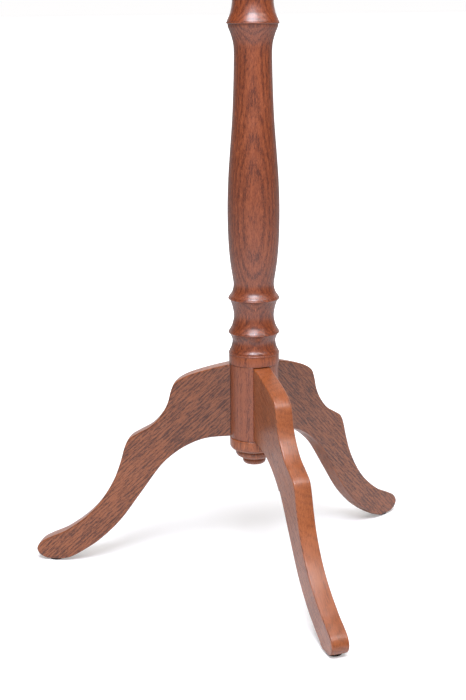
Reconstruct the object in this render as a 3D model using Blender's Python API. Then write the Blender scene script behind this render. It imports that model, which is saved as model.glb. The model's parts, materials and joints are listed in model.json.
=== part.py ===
"""Tilt top table: a turned column on three sawn legs, and a round top that tips up on two pins.

Sizes in the tables below are millimetres. Meshes are made in metres, +Z up, with the origin on the
floor under the column's axis. The front leg points along -Y, and the top's hinge is on the +Y side.
"""
import math

import bmesh
import bpy
from mathutils import Matrix, Vector

MM = 0.001
GAP = 0.3  # clearance between neighbouring pieces
MERGE = 0.01  # closes the seam of a turned piece

# Feet and legs
PAD_THICKNESS = 1.7
PAD_RADIUS = 8.5
PAD_REACH = 243.0  # from the column's axis to the middle of a foot
LEG_THICKNESS = 20.0
LEG_ARRIS = 1.2
LEG_SHOULDER = 26.5  # where a leg's flat shoulder stands, from the column's axis
FOOT_Z = PAD_THICKNESS + GAP
LEG_SPREAD = 117.0  # from the front leg to each rear leg
LEG_ANGLES = {"front": -90.0, "rear_right": -90.0 + LEG_SPREAD, "rear_left": -90.0 - LEG_SPREAD}
TOE_START = 225.0  # a leg's toe is what lies farther out than this
TOE_SCALE = {"front": 0.81, "rear_right": 1.0, "rear_left": 1.0}  # the front toe is shorter
SLIM_START = 105.0
SLIMMER = {"front": 2.5, "rear_right": 0.0, "rear_left": 0.0}  # wood gone from under the lower leg

# Sliding dovetail between a leg and the drum
TONGUE_DEPTH = 12.0
TONGUE_ROOT = 8.0
TONGUE_TIP = 12.0
TONGUE_BOTTOM = 165.8
TONGUE_TOP = 243.0

# Column
DRUM_BOTTOM = 165.2
DRUM_TOP = 253.6
DRUM_RADIUS = 28.1
COLLAR_RADIUS = 28.8
RING_RADIUS = 29.2
RING_HALF_FLAT = 0.6
COLLAR_TOP = 266.0
LOW_RING = 290.0
MIDDLE_RING = 329.4
UPPER_RING = 633.9
COLUMN_SHOULDER = 680.0
TENON_RADIUS = 15.0
SPIGOT_RADIUS = 8.0
SPIGOT_LENGTH = 22.0
COLUMN_SIDES = 32

# Tilt block and its pivots
BLOCK_BOTTOM = COLUMN_SHOULDER + GAP
BLOCK_THICKNESS = 24.0
BLOCK_TOP = BLOCK_BOTTOM + BLOCK_THICKNESS
BLOCK_HALF_WIDTH = 80.0
BLOCK_FRONT = -80.0
PIVOT_Y = 70.0
PIVOT_Z = BLOCK_BOTTOM + BLOCK_THICKNESS / 2
PIN_RADIUS = 4.0
PIN_IN_BLOCK = 30.0
WEDGE_THICKNESS = 3.0

# Top and bearers
TOP_UNDERSIDE = BLOCK_TOP + GAP
TOP_THICKNESS = 18.0
TOP_RADIUS = 310.0
TOP_SIDES = 64
BEARER_INNER_X = BLOCK_HALF_WIDTH + 1.0
BEARER_WIDTH = 22.0
BEARER_DEPTH = 23.0
BEARER_HALF_LENGTH = 215.0
BEARER_TAPER = 45.0
BEARER_END_DEPTH = 9.0
BEARER_SCREW_Y = {"front": -150.0, "middle": -40.0, "rear": 150.0}

# Catch
CATCH_PLATE_THICKNESS = 2.0
CATCH_FRONT = -136.0
CATCH_REAR = -88.0
CATCH_HALF_WIDTH = 17.0
CASE_HALF_WIDTH = 7.0
CASE_WALL = 1.6
CASE_FRONT = -132.0
CASE_REAR = -86.0
BOLT_HALF_WIDTH = 4.5
BOLT_TOP = TOP_UNDERSIDE - 3.6
BOLT_THICKNESS = 4.5
BOLT_MIDDLE = BOLT_TOP - BOLT_THICKNESS / 2
BOLT_TIP = -73.0
BOLT_TAIL = -112.0
BOLT_TRAVEL = 8.0
KNOB_Y = -104.0
STRIKE_THICKNESS = 1.5
STRIKE_HALF_WIDTH = 15.0


# ---------------------------------------------------------------- helpers

def clear_scene():
    for thing in list(bpy.data.objects):
        bpy.data.objects.remove(thing, do_unlink=True)


def material(name, colour, roughness, metallic=0.0):
    made = bpy.data.materials.new(name)
    made.use_nodes = True
    shader = made.node_tree.nodes["Principled BSDF"]
    shader.inputs["Base Color"].default_value = (*colour, 1.0)
    shader.inputs["Roughness"].default_value = roughness
    shader.inputs["Metallic"].default_value = metallic
    return made


def add_object(name, mesh_maker, finish=None, smooth_angle=None):
    """Turn a filled bmesh, in millimetres, into an object in metres."""
    bmesh.ops.scale(mesh_maker, vec=(MM, MM, MM), verts=mesh_maker.verts)
    bmesh.ops.recalc_face_normals(mesh_maker, faces=mesh_maker.faces)
    mesh = bpy.data.meshes.new(name)
    mesh_maker.to_mesh(mesh)
    mesh_maker.free()
    if finish:
        mesh.materials.append(finish)
    if smooth_angle:
        mesh.shade_smooth()
        mesh.set_sharp_from_angle(angle=math.radians(smooth_angle))
    made = bpy.data.objects.new(name, mesh)
    bpy.context.scene.collection.objects.link(made)
    return made


def as_cutter(thing):
    thing.hide_render = True
    thing.display_type = "WIRE"
    return thing


def combine(target, tool, operation="DIFFERENCE"):
    """Add a Boolean modifier whose tool stays in the scene as a hidden guide."""
    as_cutter(tool)
    step = target.modifiers.new(tool.name, "BOOLEAN")
    step.operation = operation
    step.object = tool
    return target


def arc(centre, radius, start, end, steps):
    """Points on an arc, with angles in degrees from +X towards +Z."""
    return [
        (
            centre[0] + radius * math.cos(math.radians(start + (end - start) * i / steps)),
            centre[1] + radius * math.sin(math.radians(start + (end - start) * i / steps)),
        )
        for i in range(steps + 1)
    ]


def curve_through(points, per_span):
    """A smooth Catmull-Rom curve through the points, ends included."""
    first = [2 * points[0][k] - points[1][k] for k in (0, 1)]
    last = [2 * points[-1][k] - points[-2][k] for k in (0, 1)]
    padded = [Vector(p) for p in (first, *points, last)]
    made = []
    for before, start, end, after in zip(padded, padded[1:], padded[2:], padded[3:]):
        chord = (end - start).length
        out = (end - before) * chord / ((start - before).length + chord)
        back = (after - start) * chord / ((after - end).length + chord)
        for step in range(per_span):
            t = step / per_span
            made.append(
                start * (2 * t**3 - 3 * t**2 + 1)
                + out * (t**3 - 2 * t**2 + t)
                + end * (3 * t**2 - 2 * t**3)
                + back * (t**3 - t**2)
            )
    return [(p.x, p.y) for p in made] + [tuple(points[-1])]


def is_flat(vert):
    """Whether a vertex is the middle of a level disc, and not a point."""
    return all(abs(edge.other_vert(vert).co.z - vert.co.z) < MERGE for edge in vert.link_edges)


def turned(name, profile, sides, finish=None):
    """Spin a profile of (radius, z) points, listed top to bottom, about the Z axis."""
    maker = bmesh.new()
    verts = [maker.verts.new((radius, 0, z)) for radius, z in profile]
    edges = [maker.edges.new(pair) for pair in zip(verts, verts[1:])]
    bmesh.ops.spin(
        maker, geom=verts + edges, axis=(0, 0, 1), cent=(0, 0, 0), angle=math.tau, steps=sides
    )
    bmesh.ops.remove_doubles(maker, verts=maker.verts, dist=MERGE)
    hubs = [v for v in maker.verts if v.co.xy.length < MERGE and is_flat(v)]
    bmesh.ops.dissolve_verts(maker, verts=hubs)
    return add_object(name, maker, finish, smooth_angle=35)


def slab(name, outline, depth, finish=None, bevel=0.0):
    """Extrude an outline in the XZ plane by depth along Y, centred on Y = 0."""
    maker = bmesh.new()
    verts = [maker.verts.new((x, -depth / 2, z)) for x, z in outline]
    face = maker.faces.new(verts)
    grown = bmesh.ops.extrude_face_region(maker, geom=[face])["geom"]
    far_side = [g for g in grown if isinstance(g, bmesh.types.BMVert)]
    bmesh.ops.translate(maker, vec=(0, depth, 0), verts=far_side)
    if bevel:
        rims = [e for e in maker.edges if e.verts[0].co.y == e.verts[1].co.y]
        bmesh.ops.bevel(maker, geom=rims, offset=bevel, segments=1, affect="EDGES")
    return add_object(name, maker, finish)


def box(name, low, high, finish=None):
    maker = bmesh.new()
    bmesh.ops.create_cube(maker, size=1.0)
    size = [b - a for a, b in zip(low, high)]
    middle = [(a + b) / 2 for a, b in zip(low, high)]
    bmesh.ops.scale(maker, vec=size, verts=maker.verts)
    bmesh.ops.translate(maker, vec=middle, verts=maker.verts)
    return add_object(name, maker, finish)


def place(thing, position, turn=None):
    """Put an object at a position in millimetres, after an optional rotation matrix."""
    turn = turn or Matrix.Identity(4)
    thing.matrix_world = Matrix.Translation(Vector(position) * MM) @ turn
    return thing


def rod(name, radius, start, end, axis, finish=None, sides=20, chamfer=0.0):
    """A round bar along a world axis: start and end are its end centres' places on it."""
    length = end - start
    profile = [(0, length), (radius, length), (radius, 0), (0, 0)]
    if chamfer:
        profile = [
            (0, length), (radius - chamfer, length), (radius, length - chamfer),
            (radius, chamfer), (radius - chamfer, 0), (0, 0),
        ]
    made = turned(name, profile, sides, finish)
    turn = {
        "x": Matrix.Rotation(math.radians(90), 4, "Y"),
        "y": Matrix.Rotation(math.radians(-90), 4, "X"),
        "z": Matrix.Identity(4),
    }[axis]
    offset = {"x": (start, 0, 0), "y": (0, start, 0), "z": (0, 0, start)}[axis]
    return place(made, offset, turn)


def moved(thing, x=0.0, y=0.0, z=0.0):
    """Shift a placed object by millimetres."""
    thing.matrix_world = Matrix.Translation(Vector((x, y, z)) * MM) @ thing.matrix_world
    return thing


# ---------------------------------------------------------------- column and drop

def ring(z):
    """The narrow flat crest of a turned ring."""
    return [(RING_RADIUS, z + RING_HALF_FLAT), (RING_RADIUS, z - RING_HALF_FLAT)]


def column_profile():
    """The column's outline from the tenon down to the drum."""
    tenon_top = BLOCK_TOP - 0.5
    cap = [(0, tenon_top), (TENON_RADIUS, tenon_top), (TENON_RADIUS, COLUMN_SHOULDER)]
    cap += arc((25.0, 674.6), 5.4, 90, -20, 4)
    capital = curve_through([(28.2, 672.0), (24.4, 666.0), (22.6, 657.5), (24.6, 645.0)], 2)
    capital += [(27.2, 638.6)]
    neck = curve_through([(27.5, 629.1), (24.0, 621.2), (21.5, 611.0), (21.0, 598.0)], 2)
    belly = curve_through(
        [
            (21.0, 598.0), (21.9, 562.0), (23.4, 529.0), (26.0, 495.0), (28.2, 463.5),
            (29.2, 430.0), (28.6, 397.0), (26.8, 373.0), (24.0, 353.5), (23.0, 345.8),
        ],
        2,
    )
    throat = [(23.8, 339.4), (25.4, 335.4)]
    cove = curve_through([(26.6, 326.4), (24.3, 319.0), (22.9, 308.6), (24.6, 299.2)], 2)
    cove += [(27.0, 293.6)]
    lower_cove = curve_through([(26.9, 286.9), (24.7, 280.6), (26.1, 272.4)], 2)
    foot = [
        (RING_RADIUS, COLLAR_TOP + RING_HALF_FLAT), (RING_RADIUS, COLLAR_TOP),
        (COLLAR_RADIUS, COLLAR_TOP - 1.0), (COLLAR_RADIUS, DRUM_TOP),
        (DRUM_RADIUS, DRUM_TOP), (DRUM_RADIUS, DRUM_BOTTOM), (0, DRUM_BOTTOM),
    ]
    return (
        cap + capital + ring(UPPER_RING) + neck[:-1] + belly + throat
        + ring(MIDDLE_RING) + cove + ring(LOW_RING) + lower_cove + foot
    )


def dovetail(name, clearance):
    """The tongue of a sliding dovetail, grown by a clearance to cut its socket."""
    inner = LEG_SHOULDER - TONGUE_DEPTH - clearance
    outer = LEG_SHOULDER + 4.0
    flare = (TONGUE_TIP - TONGUE_ROOT) / TONGUE_DEPTH
    tip = TONGUE_TIP / 2 + clearance
    root = TONGUE_ROOT / 2 + clearance - flare * (outer - LEG_SHOULDER) / 2
    low = TONGUE_BOTTOM if clearance == 0 else DRUM_BOTTOM - 2.0
    high = TONGUE_TOP + clearance
    maker = bmesh.new()
    verts = [
        maker.verts.new(p)
        for p in ((inner, -tip, low), (outer, -root, low), (outer, root, low), (inner, tip, low))
    ]
    face = maker.faces.new(verts)
    grown = bmesh.ops.extrude_face_region(maker, geom=[face])["geom"]
    lifted = [g for g in grown if isinstance(g, bmesh.types.BMVert)]
    bmesh.ops.translate(maker, vec=(0, 0, high - low), verts=lifted)
    return add_object(name, maker)


def leg_turn(angle):
    return Matrix.Rotation(math.radians(angle), 4, "Z")


def make_column(finish):
    column = turned("column", column_profile(), COLUMN_SIDES, finish)
    for where, angle in LEG_ANGLES.items():
        flat = box(
            f"flat_cut_{where}",
            (LEG_SHOULDER - GAP, -LEG_THICKNESS / 2 - GAP, DRUM_BOTTOM - 1),
            (DRUM_RADIUS + 8, LEG_THICKNESS / 2 + GAP, DRUM_TOP),
        )
        combine(column, place(flat, (0, 0, 0), leg_turn(angle)))
        socket = dovetail(f"socket_cut_{where}", GAP)
        combine(column, place(socket, (0, 0, 0), leg_turn(angle)))
    hole = rod(
        "spigot_hole_cut", SPIGOT_RADIUS + GAP, DRUM_BOTTOM - 1,
        DRUM_BOTTOM + SPIGOT_LENGTH + 1, "z",
    )
    combine(column, hole)
    slot = box(
        "wedge_slot_cut",
        (-TENON_RADIUS - 1, -WEDGE_THICKNESS / 2 - GAP, BLOCK_TOP - 19),
        (TENON_RADIUS + 1, WEDGE_THICKNESS / 2 + GAP, BLOCK_TOP + 1),
    )
    return combine(column, slot)


def make_drop(finish):
    """The turned finial that closes the dovetail sockets, in three steps."""
    joint = DRUM_BOTTOM - GAP
    spigot_top = joint + SPIGOT_LENGTH
    profile = [(0, spigot_top), (SPIGOT_RADIUS, spigot_top), (SPIGOT_RADIUS, joint)]
    profile += [(27.7, joint), (28.4, joint - 0.7)]
    profile += arc((22.2, 156.2), 6.2, 0, -70, 5)
    profile += arc((15.8, 146.9), 6.0, 55, -75, 5)
    profile += arc((9.3, 136.4), 4.2, 30, -90, 5)
    return turned("base_drop", profile + [(0, 132.2)], 24, finish)


# ---------------------------------------------------------------- legs

def toe_reach(where, reach):
    return reach if reach < TOE_START else TOE_START + (reach - TOE_START) * TOE_SCALE[where]


def leg_outline(where):
    """A cabriole leg's side view: (distance from the column's axis, height)."""
    shoulder = curve_through(
        [
            (LEG_SHOULDER, 253.1), (49.5, 247.0), (72.8, 239.4), (84.5, 233.9), (92.7, 227.4),
            (97.0, 218.0), (101.1, 203.0), (108.2, 189.6), (121.1, 175.2), (137.1, 165.5),
            (147.6, 158.6), (153.0, 149.0), (159.5, 127.5), (168.6, 104.3), (184.7, 78.1),
            (203.3, 58.2), (228.0, 39.8), (247.9, 30.3), (259.8, 23.4), (265.4, 14.6),
            (261.8, 6.8), (PAD_REACH + 10.0, FOOT_Z),
        ],
        3,
    )
    underside = curve_through(
        [
            (PAD_REACH - 10.0, FOOT_Z), (222.0, 5.4), (205.6, 15.2), (186.4, 29.2),
            (161.2, 54.3), (136.6, 88.3), (111.2, 124.4), (98.5, 137.6), (80.4, 151.0),
            (56.6, 161.6), (LEG_SHOULDER, 165.8),
        ],
        3,
    )
    thinned = [
        (reach, z + SLIMMER[where] if SLIM_START < reach < TOE_START else z)
        for reach, z in underside
    ]
    return [(toe_reach(where, reach), z) for reach, z in shoulder + thinned]


def make_leg(where, angle, finish):
    leg = slab(f"leg_{where}", leg_outline(where), LEG_THICKNESS, finish, bevel=LEG_ARRIS)
    place(leg, (0, 0, 0), leg_turn(angle))
    tongue = place(dovetail(f"tongue_guide_{where}", 0), (0, 0, 0), leg_turn(angle))
    return combine(leg, tongue, "UNION")


def make_pad(where, angle, finish):
    pad = rod(f"foot_pad_{where}", PAD_RADIUS, 0, PAD_THICKNESS, "z", finish, sides=24)
    reach = Vector((toe_reach(where, PAD_REACH), 0, 0))
    reach.rotate(leg_turn(angle))
    return moved(pad, *reach)


# ---------------------------------------------------------------- tilt block

def block_outline():
    """The block from the side, with a half-round rear edge about the pivots."""
    rear = arc((PIVOT_Y, PIVOT_Z), BLOCK_THICKNESS / 2, -90, 90, 10)
    return rear + [
        (BLOCK_FRONT + 1.0, BLOCK_TOP), (BLOCK_FRONT, BLOCK_TOP - 1.0),
        (BLOCK_FRONT, BLOCK_BOTTOM + 2.0), (BLOCK_FRONT + 2.0, BLOCK_BOTTOM),
    ]


def make_block(finish):
    block = slab("tilt_block", block_outline(), 2 * BLOCK_HALF_WIDTH, finish)
    block.matrix_world = Matrix.Rotation(math.radians(90), 4, "Z")
    combine(block, rod(
        "tenon_hole_cut", TENON_RADIUS + GAP, BLOCK_BOTTOM - 1, BLOCK_TOP + 1, "z",
        sides=COLUMN_SIDES,
    ))
    for side, sign in (("left", -1), ("right", 1)):
        far = sign * (BLOCK_HALF_WIDTH + 1)
        near = sign * (BLOCK_HALF_WIDTH - PIN_IN_BLOCK - GAP)
        hole = rod(
            f"pin_hole_cut_{side}", PIN_RADIUS + GAP, min(near, far), max(near, far), "x"
        )
        combine(block, moved(hole, y=PIVOT_Y, z=PIVOT_Z))
        screw_hole = rod(
            f"strike_screw_hole_{side}", 1.5 + GAP, BLOCK_FRONT - 1, BLOCK_FRONT + 13, "y",
            sides=12,
        )
        combine(block, moved(screw_hole, x=sign * 10.5, z=BOLT_MIDDLE))
    recess = box(
        "strike_recess_cut",
        (-STRIKE_HALF_WIDTH - GAP, BLOCK_FRONT - 1, BOLT_MIDDLE - 8 - GAP),
        (STRIKE_HALF_WIDTH + GAP, BLOCK_FRONT + STRIKE_THICKNESS + GAP, BLOCK_TOP + 1),
    )
    combine(block, recess)
    mortise = box(
        "bolt_mortise_cut",
        (-BOLT_HALF_WIDTH - 0.6, BLOCK_FRONT - 1, BOLT_TOP - BOLT_THICKNESS - 0.6),
        (BOLT_HALF_WIDTH + 0.6, BOLT_TIP + 2, BOLT_TOP + 0.6),
    )
    return combine(block, mortise)


def make_wedge(finish):
    """A thin wedge driven across the grain of the column's tenon."""
    top = BLOCK_TOP - 0.5
    half = WEDGE_THICKNESS / 2
    outline = [(-half * 0.5, top - 16), (half * 0.5, top - 16), (half, top), (-half, top)]
    wedge = slab("tenon_wedge", outline, 2 * (TENON_RADIUS - 3.0), finish)
    wedge.matrix_world = Matrix.Rotation(math.radians(90), 4, "Z")
    return wedge


def make_pin(side, sign, finish):
    inner = sign * (BLOCK_HALF_WIDTH - PIN_IN_BLOCK)
    outer = sign * (BEARER_INNER_X + BEARER_WIDTH - 1.0)
    pin = rod(
        f"pivot_pin_{side}", PIN_RADIUS, min(inner, outer), max(inner, outer), "x", finish,
        chamfer=0.6,
    )
    return moved(pin, y=PIVOT_Y, z=PIVOT_Z)


def screw_profile(head_radius, shank_radius, length):
    """A countersunk wood screw standing on its point, with the head's face at z = 0."""
    cone = head_radius - shank_radius
    return [
        (0, 0), (head_radius, 0), (head_radius, -0.4), (shank_radius, -0.4 - cone),
        (shank_radius, -length + 3.0), (0, -length),
    ]


def make_screw(name, position, direction, sizes, finish):
    """A slotted screw driven along a unit direction from its head's position."""
    head_radius, shank_radius, length = sizes
    screw = turned(name, screw_profile(*sizes), 12, finish)
    turn = Vector(direction).to_track_quat("-Z", "Y").to_matrix().to_4x4()
    place(screw, position, turn)
    slot = box(
        f"{name}_slot_cut",
        (-head_radius - 1, -head_radius * 0.12, -head_radius * 0.22),
        (head_radius + 1, head_radius * 0.12, 1),
    )
    return combine(screw, place(slot, position, turn))


def screw_hole(name, position, direction, sizes):
    """The room that a screw needs, with its countersink and clearance all round."""
    head_radius, shank_radius, length = sizes
    head = head_radius + GAP
    shank = shank_radius + GAP
    profile = [
        (0, 30), (head, 30), (head, -0.6), (shank, -0.6 - head + shank),
        (shank, -length - 0.6), (0, -length - 0.6),
    ]
    hole = turned(name, profile, 12)
    turn = Vector(direction).to_track_quat("-Z", "Y").to_matrix().to_4x4()
    return place(hole, position, turn)


def make_strike(finish):
    """A brass plate let into the block's front edge, with a slot for the bolt."""
    plate = box(
        "strike_plate",
        (-STRIKE_HALF_WIDTH, BLOCK_FRONT, BOLT_MIDDLE - 8),
        (STRIKE_HALF_WIDTH, BLOCK_FRONT + STRIKE_THICKNESS, BLOCK_TOP - 0.3),
        finish,
    )
    opening = box(
        "strike_slot_cut",
        (-BOLT_HALF_WIDTH - 0.6, BLOCK_FRONT - 1, BOLT_TOP - BOLT_THICKNESS - 0.6),
        (BOLT_HALF_WIDTH + 0.6, BLOCK_FRONT + 3, BOLT_TOP + 0.6),
    )
    combine(plate, opening)
    return plate


# ---------------------------------------------------------------- top and bearers

def top_profile():
    """Half of the top's section: a thumbnail edge above a small rounded arris."""
    high = TOP_UNDERSIDE + TOP_THICKNESS
    thumb = arc((TOP_RADIUS - 10.5, high - 10.5), 9.5, 90, 0, 5)
    edge = arc((TOP_RADIUS - 3.0, TOP_UNDERSIDE + 3.0), 3.0, 0, -90, 3)
    return (
        [(0, high), (TOP_RADIUS - 12.0, high), (TOP_RADIUS - 10.5, high - 1.0)]
        + thumb[1:] + [(TOP_RADIUS, high - 11.0)] + edge + [(0, TOP_UNDERSIDE)]
    )


BEARER_SCREW = (4.6, 2.2, 30.0)
CATCH_SCREW = (3.0, 1.5, 11.0)
STRIKE_SCREW = (2.6, 1.3, 11.0)
BEARER_SCREW_Z = TOP_UNDERSIDE - BEARER_DEPTH + 3.5


def bearer_screw_places():
    middle = BEARER_INNER_X + BEARER_WIDTH / 2
    for side, sign in (("left", -1), ("right", 1)):
        for where, y in BEARER_SCREW_Y.items():
            yield f"{side}_{where}", (sign * middle, y, BEARER_SCREW_Z)


def catch_screw_places():
    for side, x in (("left", -12.0), ("right", 12.0)):
        for where, y in (("front", CATCH_FRONT + 5.0), ("rear", CATCH_REAR - 5.0)):
            z = TOP_UNDERSIDE - GAP - CATCH_PLATE_THICKNESS
            yield f"{side}_{where}", (x, y, z)


def make_tabletop(finish):
    top = turned("tabletop", top_profile(), TOP_SIDES, finish)
    for where, position in bearer_screw_places():
        combine(top, screw_hole(f"top_hole_{where}", position, (0, 0, 1), BEARER_SCREW))
    for where, position in catch_screw_places():
        combine(top, screw_hole(f"catch_hole_{where}", position, (0, 0, 1), CATCH_SCREW))
    return top


def bearer_outline():
    """A bearer from the side, thinner at both ends."""
    high = TOP_UNDERSIDE - GAP
    low = TOP_UNDERSIDE - BEARER_DEPTH
    end = high - BEARER_END_DEPTH
    reach = BEARER_HALF_LENGTH
    hollow = curve_through(
        [(reach, end), (reach - BEARER_TAPER * 0.45, end - 4.0), (reach - BEARER_TAPER, low)], 3
    )
    return [(-reach, high), (reach, high)] + hollow + [(-x, z) for x, z in reversed(hollow)]


def make_bearer(side, sign, finish):
    bearer = slab(f"bearer_{side}", bearer_outline(), BEARER_WIDTH, finish, bevel=0.8)
    bearer.matrix_world = Matrix.Rotation(math.radians(90), 4, "Z")
    moved(bearer, x=sign * (BEARER_INNER_X + BEARER_WIDTH / 2))
    ends = sorted((sign * (BEARER_INNER_X - 1), sign * (BEARER_INNER_X + BEARER_WIDTH + 1)))
    hole = rod(f"pivot_hole_cut_{side}", PIN_RADIUS + GAP, *ends, "x")
    combine(bearer, moved(hole, y=PIVOT_Y, z=PIVOT_Z))
    for where, position in bearer_screw_places():
        if where.startswith(side):
            combine(bearer, screw_hole(f"bearer_hole_{where}", position, (0, 0, 1), BEARER_SCREW))
    return bearer


# ---------------------------------------------------------------- catch

def make_catch_plate(finish):
    high = TOP_UNDERSIDE - GAP
    plate = box(
        "catch_plate",
        (-CATCH_HALF_WIDTH, CATCH_FRONT, high - CATCH_PLATE_THICKNESS),
        (CATCH_HALF_WIDTH, CATCH_REAR, high),
        finish,
    )
    for where, position in catch_screw_places():
        combine(plate, screw_hole(f"plate_hole_{where}", position, (0, 0, 1), CATCH_SCREW))
    return plate


def make_catch_case(finish):
    """A channel folded over the bolt, closed at its outer end, with a slot for the knob."""
    high = TOP_UNDERSIDE - 2 * GAP - CATCH_PLATE_THICKNESS
    low = BOLT_TOP - BOLT_THICKNESS - GAP - CASE_WALL
    case = box(
        "catch_case", (-CASE_HALF_WIDTH, CASE_FRONT, low), (CASE_HALF_WIDTH, CASE_REAR, high),
        finish,
    )
    channel = box(
        "case_channel_cut",
        (-BOLT_HALF_WIDTH - GAP, CASE_FRONT + CASE_WALL, low + CASE_WALL),
        (BOLT_HALF_WIDTH + GAP, CASE_REAR + 1, high + 1),
    )
    combine(case, channel)
    slot = box(
        "knob_slot_cut",
        (-2.4, KNOB_Y - BOLT_TRAVEL - 2.6, low - 1), (2.4, KNOB_Y + 2.6, low + CASE_WALL + 1),
    )
    return combine(case, slot)


def make_catch_bolt(finish):
    """A flat bolt with a tip sloped on its lower side, so that it can ride over the block."""
    low = BOLT_TOP - BOLT_THICKNESS
    outline = [
        (BOLT_TAIL, BOLT_TOP), (BOLT_TIP, BOLT_TOP), (BOLT_TIP, BOLT_TOP - 1.0),
        (BOLT_TIP - 3.5, low), (BOLT_TAIL, low),
    ]
    bolt = slab("catch_bolt", outline, 2 * BOLT_HALF_WIDTH, finish)
    bolt.matrix_world = Matrix.Rotation(math.radians(90), 4, "Z")
    hole = rod("knob_hole_cut", 1.5 + GAP, low - 1, low + 3.4, "z", sides=16)
    return combine(bolt, moved(hole, y=KNOB_Y))


def make_catch_knob(finish):
    """A small turned knob whose stem screws up into the bolt."""
    low = BOLT_TOP - BOLT_THICKNESS
    neck = low - CASE_WALL - 2.0
    profile = [(0, low + 3.0), (1.5, low + 3.0), (1.5, low - GAP), (2.0, low - GAP), (2.0, neck)]
    profile += arc((1.2, neck - 4.6), 4.4, 70, -90, 7) + [(0, neck - 9.0)]
    return moved(turned("catch_knob", profile, 16, finish), y=KNOB_Y)


def make_catch_spring(finish):
    """A compression spring between the bolt's tail and the closed end of the case."""
    coil_radius, wire_radius, turns, per_turn, wire_sides = 1.7, 0.3, 7, 10, 5
    start = CASE_FRONT + CASE_WALL + GAP + wire_radius
    length = BOLT_TAIL - GAP - wire_radius - start
    maker = bmesh.new()
    loops = []
    for step in range(turns * per_turn + 1):
        angle = math.tau * step / per_turn
        out = Vector((math.cos(angle), 0, math.sin(angle)))
        along = start + length * step / (turns * per_turn)
        centre = out * coil_radius + Vector((0, along, BOLT_MIDDLE))
        loops.append([
            maker.verts.new(
                centre
                + out * wire_radius * math.cos(math.tau * k / wire_sides)
                + Vector((0, wire_radius * math.sin(math.tau * k / wire_sides), 0))
            )
            for k in range(wire_sides)
        ])
    for ring_a, ring_b in zip(loops, loops[1:]):
        for k in range(wire_sides):
            j = (k + 1) % wire_sides
            maker.faces.new((ring_a[k], ring_a[j], ring_b[j], ring_b[k]))
    maker.faces.new(loops[0])
    maker.faces.new(loops[-1])
    return add_object("catch_spring", maker, finish, smooth_angle=60)


# ---------------------------------------------------------------- assembly

def joint_empty(name, position):
    """An empty on a joint's axis, for the pieces that move on it."""
    empty = bpy.data.objects.new(name, None)
    bpy.context.scene.collection.objects.link(empty)
    return place(empty, position)


def hang_on(parent, pieces):
    """Parent pieces to an empty without moving them."""
    for piece in pieces:
        piece.parent = parent
        piece.matrix_parent_inverse = parent.matrix_world.inverted()


def make_stand(wood, dark_wood, felt, steel, brass):
    make_column(wood)
    for where, angle in LEG_ANGLES.items():
        make_leg(where, angle, wood)
        make_pad(where, angle, felt)
    make_drop(wood)
    make_block(dark_wood)
    make_wedge(dark_wood)
    for side, sign in (("left", -1), ("right", 1)):
        make_pin(side, sign, steel)
    strike = make_strike(brass)
    for side, sign in (("left", -1), ("right", 1)):
        head = (sign * 10.5, BLOCK_FRONT, BOLT_MIDDLE)
        make_screw(f"strike_screw_{side}", head, (0, 1, 0), STRIKE_SCREW, brass)
        combine(strike, screw_hole(f"strike_hole_{side}", head, (0, 1, 0), STRIKE_SCREW))


def make_top(wood, dark_wood, steel, brass):
    """The top with its bearers and the fixed part of the catch, on the hinge."""
    pieces = [make_tabletop(wood)]
    for side, sign in (("left", -1), ("right", 1)):
        pieces.append(make_bearer(side, sign, dark_wood))
    for where, position in bearer_screw_places():
        pieces.append(make_screw(f"bearer_screw_{where}", position, (0, 0, 1), BEARER_SCREW, steel))
    pieces += [make_catch_plate(brass), make_catch_case(brass), make_catch_spring(steel)]
    for where, position in catch_screw_places():
        pieces.append(make_screw(f"catch_screw_{where}", position, (0, 0, 1), CATCH_SCREW, brass))
    hinge = joint_empty("top_hinge", (0, PIVOT_Y, PIVOT_Z))
    slide = joint_empty("bolt_slide", (0, BOLT_TIP, BOLT_MIDDLE))
    hang_on(slide, [make_catch_bolt(brass), make_catch_knob(brass)])
    hang_on(hinge, [*pieces, slide])


def build():
    clear_scene()
    wood = material("polished_wood", (0.30, 0.12, 0.07), 0.32)
    dark_wood = material("secondary_wood", (0.22, 0.10, 0.06), 0.55)
    felt = material("felt", (0.03, 0.03, 0.03), 0.95)
    steel = material("steel", (0.45, 0.44, 0.42), 0.4, 1.0)
    brass = material("brass", (0.72, 0.50, 0.22), 0.3, 1.0)
    make_stand(wood, dark_wood, felt, steel, brass)
    make_top(wood, dark_wood, steel, brass)


build()
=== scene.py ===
"""Looks for a tilt top table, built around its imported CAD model.

Sizes of the pieces are millimetres, in the frame of the CAD model: +Z up, the origin on the floor
under the column's axis, the front leg along -Y and the top's hinge on the +Y side. Materials, lamps
and the camera are in metres.
"""
import json
import math

import bmesh
import bpy
from mathutils import Matrix, Vector

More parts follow.
